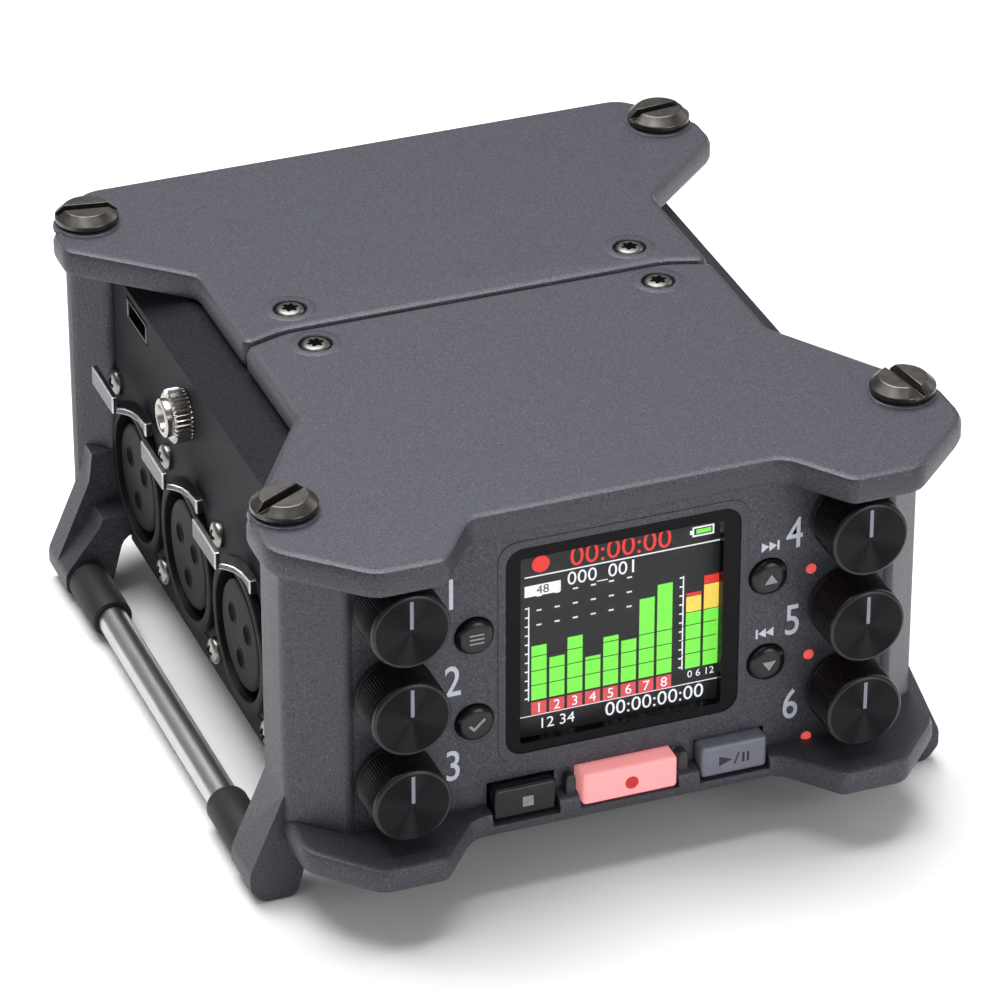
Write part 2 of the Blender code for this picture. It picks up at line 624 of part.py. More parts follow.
# line output, data port, headphone output, headphone wheel and power switch
for name, side, out in (("line_out_jack", -1, LINE_OUT), ("headphone_jack", 1, PHONES_OUT)):
    profile = [(0, -JACK_BORE_D), (JACK_BORE_R, -JACK_BORE_D), (JACK_BORE_R, out), (LINE_R - 0.4, out),
               (LINE_R, out - 0.4), (LINE_R, -JACK_D), (0, -JACK_D)]
    jack = turned(name, profile, (side * SIDE_X, LINE_Y, LINE_Z), "X" if side > 0 else "-X")
    finish(jack, "nickel" if side < 0 else "black")
port = block("usb_port", (-SIDE_X - 0.1, -SIDE_X + USB_D), (USB_Y - USB_W / 2, USB_Y + USB_W / 2),
             (USB_Z - USB_H / 2, USB_Z + USB_H / 2))
combine(port, block("usb_slot", (-SIDE_X - 3, -SIDE_X + USB_SLOT_D),
                    (USB_Y - USB_W / 2 + USB_WALL, USB_Y + USB_W / 2 - USB_WALL),
                    (USB_Z - USB_H / 2 + USB_WALL, USB_Z + USB_H / 2 - USB_WALL)))
finish(port, "steel")
profile = [(0, WHEEL_L), (WHEEL_R - 0.5, WHEEL_L), (WHEEL_R, WHEEL_L - 0.5), (WHEEL_R, 0.5),
           (SHAFT_R, 0.5), (SHAFT_R, -5.0), (0, -5.0)]
finish(turned("headphone_wheel", profile, (SIDE_X, WHEEL_Y, LINE_Z), "X"), "black")
switch = block("power_switch", (SIDE_X - 3.0, SIDE_X + SWITCH_OUT),
               (SWITCH_Y - SWITCH_W / 2, SWITCH_Y + SWITCH_W / 2),
               (SWITCH_Z - SWITCH_H / 2, SWITCH_Z + SWITCH_H / 2))
finish(ease(switch, 0.3, 1), "black")

# card door on the rear wall, turning about its lower edge
card_low = CARD_Z - CARD_H / 2
card = [(REAR_WALL + GAP + CARD_T, card_low + CARD_T / 2), (REAR_WALL + GAP + CARD_T, CARD_Z + CARD_H / 2),
        (REAR_WALL + GAP, CARD_Z + CARD_H / 2), (REAR_WALL + GAP, card_low + CARD_T / 2)]
foot = [(REAR_WALL + GAP + CARD_T / 2 + CARD_T / 2 * math.cos(a),
         card_low + CARD_T / 2 + CARD_T / 2 * math.sin(a))
        for a in [math.radians(180 + 30 * k) for k in range(1, 6)]]
finish(slab("card_door", [*card, *foot], -CARD_W / 2, CARD_W / 2, "X",
            (0, REAR_WALL + GAP + CARD_T / 2, card_low + CARD_T / 2)), "black")

# rails with rubber sleeves
rail_front = ARM_FY + ARM_T - RAIL_SEAT
rail_back = ARM_RY + RAIL_SEAT
for label, side in SIDES:
    middle = (rail_front + rail_back) / 2
    reach = (rail_back - rail_front) / 2
    profile = [(0, reach), (RAIL_R - 0.3, reach), (RAIL_R, reach - 0.3), (RAIL_R, -reach + 0.3),
               (RAIL_R - 0.3, -reach), (0, -reach)]
    finish(turned(label + "_rail", profile, (side * RAIL_X, middle, RAIL_Z), "-Y", 16), "steel")
    for end, y in (("front", ARM_FY + ARM_T + GAP + SLEEVE_L / 2), ("rear", ARM_RY - GAP - SLEEVE_L / 2)):
        bore, top = RAIL_R + GAP, SLEEVE_L / 2
        ring = [(bore, top), (SLEEVE_R - 0.25, top), (SLEEVE_R, top - 0.25), (SLEEVE_R, -top + 0.25),
                (SLEEVE_R - 0.25, -top), (bore, -top), (bore, top)]
        finish(turned(f"{label}_{end}_sleeve", ring, (side * RAIL_X, y, RAIL_Z), "-Y", 16), "rubber")

# thumb screws and the small screws of the top plates
for label, side in SIDES:
    for end, (x, y) in zip(("front", "rear"), THUMB):
        foot = TOP_Z + PAD_H + 0.1
        profile = [(0, THUMB_H), (THUMB_TOP, THUMB_H), (THUMB_R, 0.9), (THUMB_R, 0.2), (THUMB_R - 0.3, 0),
                   (1.4, 0), (1.4, -PLATE_T + 0.7), (0, -PLATE_T + 0.7)]
        screw = turned(f"{label}_{end}_thumb_screw", profile, (side * x, y, foot), steps=28)
        slot = block(f"{label}_{end}_slot", (side * x - 6, side * x + 6), (y - 0.75, y + 0.75),
                     (foot + THUMB_H - 1.4, foot + THUMB_H + 1))
        slot.rotation_euler = (0, 0, math.radians(SLOT_TURN[label, end]))
        combine(screw, slot)
        finish(screw, "nickel")
    for end, y in zip(("front", "rear"), STAR_Y):
        profile = [(0, 0.85), (1.6, 0.8), (STAR_R - 0.5, 0.5), (STAR_R, 0), (1.3, 0), (1.3, -5.2), (0, -5.2)]
        screw = turned(f"{label}_{end}_plate_screw", profile, (side * STAR_X, y, TOP_Z - 0.75), steps=12)
        finish(screw, "nickel")
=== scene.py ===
import json
import math

import bmesh
import bpy
import numpy as np
from mathutils import Matrix, Vector

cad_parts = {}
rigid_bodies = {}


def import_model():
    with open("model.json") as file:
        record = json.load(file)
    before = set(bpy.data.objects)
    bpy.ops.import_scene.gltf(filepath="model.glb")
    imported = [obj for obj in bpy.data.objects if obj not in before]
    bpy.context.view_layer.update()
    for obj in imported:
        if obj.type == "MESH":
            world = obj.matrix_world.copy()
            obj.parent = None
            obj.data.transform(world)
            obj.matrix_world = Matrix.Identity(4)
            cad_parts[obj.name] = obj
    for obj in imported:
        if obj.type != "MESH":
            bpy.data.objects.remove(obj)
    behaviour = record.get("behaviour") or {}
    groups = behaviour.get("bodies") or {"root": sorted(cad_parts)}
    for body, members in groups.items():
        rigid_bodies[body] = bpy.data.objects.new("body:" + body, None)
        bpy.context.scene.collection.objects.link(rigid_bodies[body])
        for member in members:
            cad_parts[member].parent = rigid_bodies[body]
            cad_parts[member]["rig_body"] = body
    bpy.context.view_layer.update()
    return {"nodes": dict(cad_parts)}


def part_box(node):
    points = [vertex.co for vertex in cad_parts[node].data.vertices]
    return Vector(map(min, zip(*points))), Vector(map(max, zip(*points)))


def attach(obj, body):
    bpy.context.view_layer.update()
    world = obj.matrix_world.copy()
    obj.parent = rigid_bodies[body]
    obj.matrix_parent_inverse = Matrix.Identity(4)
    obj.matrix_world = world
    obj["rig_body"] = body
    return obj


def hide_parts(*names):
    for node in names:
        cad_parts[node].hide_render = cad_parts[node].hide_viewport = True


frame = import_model()
nodes = frame["nodes"]
mm = 0.001
print("frame loaded", len(nodes), "nodes")

# camera solved from screws, knobs and ear corners
view = {"place": (-0.25630, -0.67199, 0.45503), "azimuth": -20.945, "elevation": 30.488, "lens": 207.85,
        "sensor": 36.0, "shift": (-0.0014, -0.0026), "clip": (0.01, 20.0)}
camera = bpy.data.objects.new("camera", bpy.data.cameras.new("camera"))
bpy.context.scene.collection.objects.link(camera)
camera.data.lens = view["lens"]
camera.data.sensor_width = view["sensor"]
camera.data.shift_x, camera.data.shift_y = view["shift"]
camera.data.clip_start, camera.data.clip_end = view["clip"]
swing = Matrix.Rotation(math.radians(view["azimuth"]), 4, "Z")
tilt = Matrix.Rotation(math.radians(90 - view["elevation"]), 4, "X")
camera.matrix_world = Matrix.Translation(view["place"]) @ swing @ tilt
bpy.context.scene.camera = camera
bpy.context.scene.view_settings.view_transform = "Standard"


# finishes: each starts from one principled shader and adds its own grain
def finishStart(name, colour, metal, rough, **sockets):
    look = bpy.data.materials.new(name)
    look.use_nodes = True
    shader = look.node_tree.nodes["Principled BSDF"]
    shader.inputs["Base Color"].default_value = (*colour, 1.0)
    shader.inputs["Metallic"].default_value = metal
    shader.inputs["Roughness"].default_value = rough
    for socket, value in sockets.items():
        shader.inputs[socket].default_value = value
    return look, shader


def node(look, kind, **values):
    made = look.node_tree.nodes.new(kind)
    for key, value in values.items():
        if key in made.inputs:
            made.inputs[key].default_value = value
        else:
            setattr(made, key, value)
    return made


def join(look, source, target):
    look.node_tree.links.new(source, target)


def objectCoords(look, stretch=(1, 1, 1)):
    coords = node(look, "ShaderNodeTexCoord")
    mapping = node(look, "ShaderNodeMapping")
    mapping.inputs["Scale"].default_value = stretch
    join(look, coords.outputs["Object"], mapping.inputs["Vector"])
    return mapping.outputs["Vector"]


def ramp(look, source, stops):
    made = node(look, "ShaderNodeValToRGB")
    while len(made.color_ramp.elements) < len(stops):
        made.color_ramp.elements.new(0.5)
    for element, (place, colour) in zip(made.color_ramp.elements, stops):
        element.position = place
        element.color = (*colour, 1.0)
    join(look, source, made.inputs["Fac"])
    return made.outputs["Color"]


def grain(look, shader, scale, height, strength=0.4, stretch=(1, 1, 1), detail=3.0):
    noise = node(look, "ShaderNodeTexNoise", Scale=scale, Detail=detail)
    join(look, objectCoords(look, stretch), noise.inputs["Vector"])
    bump = node(look, "ShaderNodeBump", Strength=strength, Distance=height)
    join(look, noise.outputs["Fac"], bump.inputs["Height"])
    join(look, bump.outputs["Normal"], shader.inputs["Normal"])
    return noise.outputs["Fac"]


# varied: ramp stops a little darker and a little brighter than one colour
def varied(colour, spread):
    low = tuple(c * (1 - spread) for c in colour)
    high = tuple(min(1.0, c * (1 + spread)) for c in colour)
    return [(0.32, low), (0.68, high)]


# cast shell: grey paint with fine dark and bright grains, roughness broken up by the same grains
def castFinish():
    tone = {"dark": (0.028, 0.029, 0.037), "mid": (0.050, 0.051, 0.064), "light": (0.100, 0.102, 0.124)}
    stops = [(0.32, tone["dark"]), (0.47, tone["mid"]), (0.59, tone["mid"]), (0.76, tone["light"])]
    look, shader = finishStart("castPaint", tone["mid"], 0.30, 0.45)
    fine = grain(look, shader, 3400.0, 0.00005, 0.36, detail=1.5)
    join(look, ramp(look, fine, stops), shader.inputs["Base Color"])
    rough = node(look, "ShaderNodeMapRange")
    rough.inputs["To Min"].default_value = 0.54
    rough.inputs["To Max"].default_value = 0.38
    join(look, fine, rough.inputs["Value"])
    join(look, rough.outputs["Result"], shader.inputs["Roughness"])
    return look


# grained: one colour varied a little by noise, with a matching bump
def grained(name, colour, metal, rough, scale, height, spread=0.25, stretch=(1, 1, 1), **sockets):
    look, shader = finishStart(name, colour, metal, rough, **sockets)
    fine = grain(look, shader, scale, height, stretch=stretch)
    join(look, ramp(look, fine, varied(colour, spread)), shader.inputs["Base Color"])
    return look


# lit: a colour that glows about as it is written, a little uneven from spot to spot
glow = {"base": 0.25, "rough": 0.6, "scale": 1800.0, "detail": 2.0, "spread": 0.08}


def lit(name, colour, strength=1.0):
    look, shader = finishStart(name, tuple(c * glow["base"] for c in colour), 0.0, glow["rough"])
    noise = node(look, "ShaderNodeTexNoise", Scale=glow["scale"], Detail=glow["detail"])
    join(look, objectCoords(look), noise.inputs["Vector"])
    uneven = ramp(look, noise.outputs["Fac"], varied(colour, glow["spread"]))
    join(look, uneven, shader.inputs["Emission Color"])
    shader.inputs["Emission Strength"].default_value = strength
    return look


castPaint = castFinish()
# brighter paint on the casting's bevelled edges: partly wear, partly a painted highlight of the edges
# catching the top light
castEdgeWearAndHighlight = grained("castEdgeWearAndHighlight", (0.125, 0.127, 0.143), 0.4, 0.36, 3000.0, 0.00003, 0.45)
sidePaint = grained("sidePaint", (0.020, 0.020, 0.0245), 0.0, 0.55, 2400.0, 0.00003,
                    **{"Specular IOR Level": 0.05})
socketBlack = grained("socketBlack", (0.0050, 0.0050, 0.0058), 0.0, 0.48, 1500.0, 0.00002,
                      **{"Specular IOR Level": 0.08})
# near black with almost no sheen, set into pin holes, screw recesses and bores as their painted shade
holeShadeBlack = grained("holeShadeBlack", (0.0012, 0.0012, 0.0014), 0.0, 0.7, 900.0, 0.00001,
                    **{"Specular IOR Level": 0.02})
borderBlack = grained("borderBlack", (0.0030, 0.0030, 0.0042), 0.0, 0.24, 600.0, 0.000002,
                      **{"Specular IOR Level": 0.10})
knobBlack = grained("knobBlack", (0.0055, 0.0055, 0.006), 0.1, 0.34, 1800.0, 0.00001)
knobFace = grained("knobFace", (0.022, 0.022, 0.025), 1.0, 0.46, 3000.0, 0.0000002, 0.06,
                   **{"Anisotropic": 1.0, "Anisotropic Rotation": 0.25})
spun = node(knobFace, "ShaderNodeTangent", direction_type="RADIAL", axis="Y")
join(knobFace, spun.outputs["Tangent"], knobFace.node_tree.nodes["Principled BSDF"].inputs["Tangent"])
rubberBlack = grained("rubberBlack", (0.009, 0.009, 0.0098), 0.0, 0.62, 1600.0, 0.00004)
stopRubber = grained("stopRubber", (0.022, 0.022, 0.026), 0.0, 0.42, 1600.0, 0.00003)
buttonGloss = grained("buttonGloss", (0.006, 0.006, 0.007), 0.0, 0.26, 700.0, 0.000004,
                      **{"Specular IOR Level": 0.38})
steelRail = grained("steelRail", (0.60, 0.60, 0.61), 1.0, 0.30, 900.0, 0.00001, 0.12, (9.0, 0.25, 9.0))
nickelDark = grained("nickelDark", (0.105, 0.098, 0.092), 1.0, 0.36, 700.0, 0.00002)
nickelBright = grained("nickelBright", (0.42, 0.40, 0.375), 1.0, 0.27, 700.0, 0.00001, 0.15)
screwSteel = grained("screwSteel", (0.17, 0.162, 0.155), 1.0, 0.36, 700.0, 0.00001, 0.2)
crossSteel = grained("crossSteel", (0.30, 0.285, 0.27), 1.0, 0.30, 700.0, 0.00001, 0.2)
latchSteel = grained("latchSteel", (0.105, 0.105, 0.112), 1.0, 0.38, 900.0, 0.00002, 0.2)
# bright steel on the latch's bevelled edges: a painted highlight
latchEdgeHighlight = grained("latchEdgeHighlight", (0.46, 0.46, 0.48), 1.0, 0.34, 900.0, 0.00002, 0.2)
printDim = grained("printDim", (0.23, 0.23, 0.29), 0.0, 0.5, 1500.0, 0.00001, 0.06)
printPale = grained("printPale", (0.60, 0.62, 0.71), 0.0, 0.5, 1500.0, 0.00001, 0.06)
recordPlastic, recordShader = finishStart("recordPlastic", (0.88, 0.30, 0.31), 0.0, 0.28)
recordShader.inputs["Emission Color"].default_value = (1.0, 0.38, 0.38, 1.0)
recordShader.inputs["Emission Strength"].default_value = 0.42
grain(recordPlastic, recordShader, 500.0, 0.00001, 0.2)
playPlastic = grained("playPlastic", (0.155, 0.160, 0.205), 0.0, 0.3, 600.0, 0.00001, 0.08)
boardGreen = grained("boardGreen", (0.012, 0.085, 0.038), 0.0, 0.45, 700.0, 0.00002, 0.3)
cellSleeve = grained("cellSleeve", (0.30, 0.19, 0.05), 0.6, 0.35, 500.0, 0.00001, 0.15)
darkMark = grained("darkMark", (0.012, 0.012, 0.014), 0.0, 0.5, 900.0, 0.000005)
greyMark = grained("greyMark", (0.27, 0.28, 0.32), 0.0, 0.5, 900.0, 0.000005)
recordMark = lit("recordMark", (0.80, 0.03, 0.035), 0.5)
lampRed = lit("lampRed", (0.86, 0.10, 0.085), 0.75)
screenBack = lit("screenBack", (0.016, 0.016, 0.018), 0.5)
screenWhite = lit("screenWhite", (0.80, 0.82, 0.85))
screenRed = lit("screenRed", (0.72, 0.035, 0.03))
screenBox = lit("screenBox", (0.62, 0.08, 0.09))
screenGreen = lit("screenGreen", (0.19, 0.80, 0.075))
screenYellow = lit("screenYellow", (0.86, 0.62, 0.10))
glassClear, glassShader = finishStart("glassClear", (1, 1, 1), 0.0, 0.03)
glassShader.inputs["Transmission Weight"].default_value = 1.0
glassShader.inputs["IOR"].default_value = 1.03
grain(glassClear, glassShader, 40.0, 0.000001, 0.05)
print("finishes ready")

# edges steeper than this many degrees stay sharp
sharpAngle = 40.0


# put: object at the origin from whole arrays of points and faces, riding on a body
def put(name, points, faces, look, body, smooth=True, repair=True):
    mesh = bpy.data.meshes.new(name)
    mesh.from_pydata(np.asarray(points, float).tolist(), [], [list(f) for f in faces])
    if repair:
        work = bmesh.new()
        work.from_mesh(mesh)
        bmesh.ops.remove_doubles(work, verts=work.verts, dist=2e-7)
        bmesh.ops.recalc_face_normals(work, faces=work.faces)
        work.to_mesh(mesh)
        work.free()
    mesh.materials.append(look)
    if smooth:
        mesh.shade_smooth()
        mesh.set_sharp_from_angle(angle=math.radians(sharpAngle))
    piece = bpy.data.objects.new(name, mesh)
    bpy.context.scene.collection.objects.link(piece)
    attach(piece, body)
    return piece


# bevelled: edges eased by a modifier; where an edge finish is given, the bevel faces take it, a brighter
# colour that paints a highlight on the edges (on the casting together with wear)
def bevelled(piece, width, segments=2, angle=30.0, paintedEdgeHighlight=None):
    bevel = piece.modifiers.new("edge", "BEVEL")
    bevel.width = width * mm
    bevel.segments = segments
    bevel.limit_method = "ANGLE"
    bevel.angle_limit = math.radians(angle)
    if paintedEdgeHighlight:
        piece.data.materials.append(paintedEdgeHighlight)
        bevel.material = 1


turns = {"Z": Matrix.Identity(3), "-Y": Matrix.Rotation(math.radians(90), 3, "X"),
         "X": Matrix.Rotation(math.radians(90), 3, "Y"), "-X": Matrix.Rotation(math.radians(-90), 3, "Y")}


# gridFaces: quads between the rows of a ring grid; wrap joins the last row to the first
def gridFaces(rows, around, wrap=False):
    row, col = np.meshgrid(np.arange(rows if wrap else rows - 1), np.arange(around), indexing="ij")
    after, below = (col + 1) % around, (row + 1) % rows
    quads = [row * around + col, row * around + after, below * around + after, below * around + col]
    return np.stack(quads, -1).reshape(-1, 4)


# turnedGrid: (radius, height) rows turned about an axis from a foot point, with teeth in some rows
def turnedGrid(profile, at, along, around, teeth=0, depth=0.0, rows=()):
    radius, height = np.array(profile, float).T
    angle = np.linspace(0, 2 * math.pi, around, endpoint=False)
    grid = np.repeat(radius[:, None], around, 1)
    if teeth:
        mask = np.zeros(len(radius))
        mask[list(rows)] = 1.0
        grid = grid - mask[:, None] * depth * (0.5 + 0.5 * np.cos(teeth * angle))[None]
    rise = np.repeat(height[:, None], around, 1)
    local = np.stack([grid * np.cos(angle), grid * np.sin(angle), rise], -1)
    points = local.reshape(-1, 3) @ np.array(turns[along]).T + np.array(at)[None]
    return points * mm, gridFaces(len(radius), around)


# dome: profile rows from the top of a dome out to its rim
def dome(radius, foot, rise, steps):
    return [(radius * math.sin(a), foot + rise * math.cos(a)) for a in np.linspace(0, math.pi / 2, steps)]


# slabs: each row (x0, x1, y0, y1, z0, z1) becomes a closed box
def slabs(rows):
    rows = np.array(rows, float)
    pick = np.array([[i, 2 + j, 4 + k] for i in (0, 1) for j in (0, 1) for k in (0, 1)])
    points = rows[:, pick].reshape(-1, 3)
    quads = np.array([[0, 1, 3, 2], [4, 6, 7, 5], [0, 4, 5, 1], [2, 3, 7, 6], [0, 2, 6, 4], [1, 5, 7, 3]])
    faces = (quads[None] + 8 * np.arange(len(rows))[:, None, None]).reshape(-1, 4)
    return points * mm, faces


# prismFaces: two caps and the sides between two equal rings of points
def prismFaces(count):
    ring = np.arange(count)
    sides = [[i, (i + 1) % count, count + (i + 1) % count, count + i] for i in ring]
    return [list(ring[::-1]), list(ring + count), *sides]


# flatShape: an outline in (x, z) given thickness from its front towards the back
def flatShape(outline, front, thick):
    outline = np.array(outline, float)
    count = len(outline)
    near = np.stack([outline[:, 0], np.full(count, front), outline[:, 1]], -1)
    far = near + np.array([0, thick, 0])
    return np.concatenate([near, far]) * mm, prismFaces(count)


# roundedBox: outline of a box in (x, z) with round corners, the same count of points for every size
def roundedBox(x0, x1, z0, z1, radius, steps=8):
    turn = np.linspace(0, math.pi / 2, steps)
    corners = ((x1, z1, 0), (x0, z1, 1), (x0, z0, 2), (x1, z0, 3))
    points = []
    for x, z, quarter in corners:
        cx = x - radius if quarter in (0, 3) else x + radius
        cz = z - radius if quarter in (0, 1) else z + radius
        a = turn + quarter * math.pi / 2
        points.append(np.stack([cx + radius * np.cos(a), cz + radius * np.sin(a)], -1))
    return np.concatenate(points)


# ringSolid: closed ring between an outer and an inner outline, from front to back
def ringSolid(outer, inner, front, back):
    count = len(outer)
    layers = [(outer, front), (inner, front), (inner, back), (outer, back)]
    points = np.concatenate([np.stack([o[:, 0], np.full(count, y), o[:, 1]], -1) for o, y in layers])
    return points * mm, gridFaces(len(layers), count, wrap=True)


def gather(parts):
    points, faces, start = [], [], 0
    for p, f in parts:
        points.append(np.asarray(p))
        faces.extend([[start + i for i in face] for face in f])
        start += len(p)
    return np.concatenate(points), faces


# letters: plain numbers from Blender's own font, as thin solids facing the front
def letters(text, size, x, z, front, thick=0.03, align="CENTER", bold=0.0, squeeze=1.0):
    curve = bpy.data.curves.new("plainNumber", "FONT")
    curve.body = text
    curve.size = size * mm
    curve.extrude = thick * mm / 2
    curve.offset = bold * mm
    curve.align_x = align
    curve.align_y = "CENTER"
    curve.resolution_u = 3
    holder = bpy.data.objects.new("plainNumber", curve)
    bpy.context.scene.collection.objects.link(holder)
    bpy.context.view_layer.update()
    mesh = bpy.data.meshes.new_from_object(holder.evaluated_get(bpy.context.evaluated_depsgraph_get()))
    bpy.data.objects.remove(holder)
    points = np.zeros(len(mesh.vertices) * 3)
    mesh.vertices.foreach_get("co", points)
    points = points.reshape(-1, 3)
    placed = np.stack([points[:, 0] * squeeze + x * mm, front * mm - points[:, 2], points[:, 1] + z * mm], -1)
    faces = [list(p.vertices) for p in mesh.polygons]
    bpy.data.meshes.remove(mesh)
    return placed, faces


# softened: a merged copy of a solid with its edges eased, in place of the solid
def softened(name, look, edge, angle=sharpAngle, paintedEdgeHighlight=None):
    source = nodes[name]
    mesh = source.data.copy()
    work = bmesh.new()
    work.from_mesh(mesh)
    bmesh.ops.remove_doubles(work, verts=work.verts, dist=2e-6)
    bmesh.ops.dissolve_limit(work, angle_limit=math.radians(0.5), verts=work.verts, edges=work.edges)
    work.to_mesh(mesh)
    work.free()
    mesh.materials.clear()
    mesh.materials.append(look)
    mesh.shade_smooth()
    mesh.set_sharp_from_angle(angle=math.radians(angle))
    piece = bpy.data.objects.new(name + "Finish", mesh)
    bpy.context.scene.collection.objects.link(piece)
    if edge:
        bevelled(piece, edge, angle=angle, paintedEdgeHighlight=paintedEdgeHighlight)
    flat = piece.modifiers.new("flat", "WEIGHTED_NORMAL")
    flat.keep_sharp = True
    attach(piece, source["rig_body"])
    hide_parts(name)
    return piece


def paint(look, *names):
    for name in names:
        nodes[name].data.materials.clear()
        nodes[name].data.materials.append(look)


# shells and covers
# the castings' bevelled edges take the brighter edge paint: wear and painted highlight
softened("front_frame", castPaint, 0.35, paintedEdgeHighlight=castEdgeWearAndHighlight)
softened("rear_frame", castPaint, 0.35, paintedEdgeHighlight=castEdgeWearAndHighlight)
for side in ("left", "right"):
    softened(side + "_side_panel", sidePaint, 0.3)
softened("base_plate", sidePaint, 0.3)
softened("battery_door", sidePaint, 0.3)
softened("card_door", sidePaint, 0.2)
softened("power_switch", buttonGloss, 0.0)
softened("usb_port", nickelDark, 0.15)
paint(boardGreen, "main_board", "control_board")
paint(cellSleeve, "cell_1", "cell_2", "cell_3", "cell_4")
paint(screenBack, "lcd_module")
print("shells ready")

# planes of the front wall and of the side panels, in millimetres as all sizes below
wallY = -48.65
panelX = 42.0

# level knobs: knurled flank, eased rim, spun face with a pointer line
knob = {"x": 33.5, "z": 34.9, "pitch": 13.9, "radius": 5.7, "length": 7.4, "back": -49.15,
        "teeth": 84, "tooth": 0.16, "toothRows": (6, 7), "stem": 2.2, "stemEnd": -4.4,
        "line": (0.25, 0.5, 4.8), "lineProud": 0.04, "lineThick": 0.3}
r, h = knob["radius"], knob["length"]
flank = [(0, h - 0.5), (r - 0.55, h - 0.5), (r - 0.55, h), (r - 0.25, h - 0.06), (r - 0.08, h - 0.25),
         (r, h - 0.6), (r, h - 0.7), (r, 0.5), (r, 0.4), (r - 0.3, 0), (knob["stem"], 0),
         (knob["stem"], knob["stemEnd"]), (0, knob["stemEnd"])]
face = [(0, h - 0.25), (0.6, h - 0.18), (r - 1.1, h - 0.05), (r - 0.55, h), (r - 0.58, h - 0.45),
        (0, h - 0.45)]
half, low, high = knob["line"]
front = knob["back"] - h - knob["lineProud"]
for number in range(1, 7):
    body = f"knob_{number}"
    x = knob["x"] * (-1 if number < 4 else 1)
    z = knob["z"] + (1 - (number - 1) % 3) * knob["pitch"]
    at = (x, knob["back"], z)
    points, faces = turnedGrid(flank, at, "-Y", knob["teeth"] * 4, knob["teeth"], knob["tooth"],
                               knob["toothRows"])
    piece = put(f"knob{number}Flank", points, faces, knobBlack, body)
    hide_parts(body)
    points, faces = turnedGrid(face, at, "-Y", 96)
    put(f"knob{number}Face", points, faces, knobFace, body)
    points, faces = slabs([(x - half, x + half, front, front + knob["lineThick"], z + low, z + high)])
    put(f"knob{number}Line", points, faces, printDim, body, smooth=False)
print("knobs ready")

# round buttons, each with a low collar and a light sign
button = {"radius": 2.75, "out": 1.2, "round": 1.3, "drop": 0.95, "rise": 0.87, "back": -3.8,
          "collar": [(2.87, 0.02), (2.95, 0.07), (3.15, 0.07), (3.3, 0.0), (3.3, -0.6), (2.87, -0.6),
                     (2.87, 0.02)],
          "signProud": 0.05, "signThick": 0.3, "barLong": 1.05, "barHalf": 0.13, "barRows": (-0.65, 0, 0.65)}
places = {"menu_button": (-21.7, 41.2), "enter_button": (-21.7, 27.3),
          "up_button": (21.7, 41.2), "down_button": (21.7, 27.3)}
signs = {"enter_button": [(-1.25, -0.05), (-0.95, 0.22), (-0.45, -0.32), (1.0, 1.0), (1.25, 0.72),
                          (-0.45, -0.85)],
         "up_button": [(-1.0, -0.6), (1.0, -0.6), (0.0, 0.85)],
         "down_button": [(1.0, 0.6), (-1.0, 0.6), (0.0, -0.85)]}
r, o, thick = button["radius"], button["out"], button["signThick"]
rim = dome(button["round"], o - button["drop"], button["rise"], 14)
profile = [(0, o), *((r - button["round"] + a, b) for a, b in rim), (r, button["back"]), (0, button["back"])]
front = wallY - o - button["signProud"]
for name, (x, z) in places.items():
    points, faces = turnedGrid(profile, (x, wallY, z), "-Y", 56)
    piece = put(name + "Dome", points, faces, buttonGloss, name)
    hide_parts(name)
    points, faces = turnedGrid(button["collar"], (x, wallY, z), "-Y", 64)
    put(name + "Collar", points, faces, castPaint, "body")
    if name in signs:
        points, faces = flatShape(np.array(signs[name]) + (x, z), front, thick)
    else:
        a, b = button["barLong"], button["barHalf"]
        points, faces = slabs([(x - a, x + a, front, front + thick, z + d - b, z + d + b)
                               for d in button["barRows"]])
    put(name + "Sign", points, faces, greyMark, name, smooth=False)
print("buttons ready")

# transport keys with their signs
keys = {"stop_key": buttonGloss, "record_key": recordPlastic, "play_key": playPlastic}
for name, look in keys.items():
    softened(name, look, 0.0)
keySign = {"low": -0.9, "high": 0.7, "proud": 0.03, "thick": 0.13, "stopHalf": 0.8, "stopShift": 0.4,
           "dot": [(0, 0.04), (1.0, 0.04), (1.0, -0.1), (0, -0.1)], "dotX": 0.7, "dotDrop": 0.2,
           "arrow": (14.0, 16.0), "slash": (16.2, 16.45, 17.1, 16.85), "slashPast": 0.1,
           "bars": ((17.5, 17.85), (18.2, 18.55))}
lowKey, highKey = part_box("stop_key")
keyZ = (lowKey.z + highKey.z) / mm / 2
low, high, thick = keyZ + keySign["low"], keyZ + keySign["high"], keySign["thick"]
middle, half = (lowKey.x + highKey.x) / mm / 2 + keySign["stopShift"], keySign["stopHalf"]
front = lowKey.y / mm - keySign["proud"]
points, faces = slabs([(middle - half, middle + half, front, front + thick, low, high)])
put("stopSign", points, faces, greyMark, "stop_key", smooth=False)
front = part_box("record_key")[0].y / mm
points, faces = turnedGrid(keySign["dot"], (keySign["dotX"], front, keyZ - keySign["dotDrop"]), "-Y", 40)
put("recordSign", points, faces, recordMark, "record_key")
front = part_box("play_key")[0].y / mm - keySign["proud"]
x0, x1 = keySign["arrow"]
arrow = [(x0, low), (x1, (low + high) / 2), (x0, high)]
heights = [low - keySign["slashPast"]] * 2 + [high + keySign["slashPast"]] * 2
slash = list(zip(keySign["slash"], heights))
bars = [(a, b, front, front + thick, low, high) for a, b in keySign["bars"]]
points, faces = gather([flatShape(arrow, front, thick), flatShape(slash, front, thick), slabs(bars)])
put("playSign", points, faces, darkMark, "play_key", smooth=False)

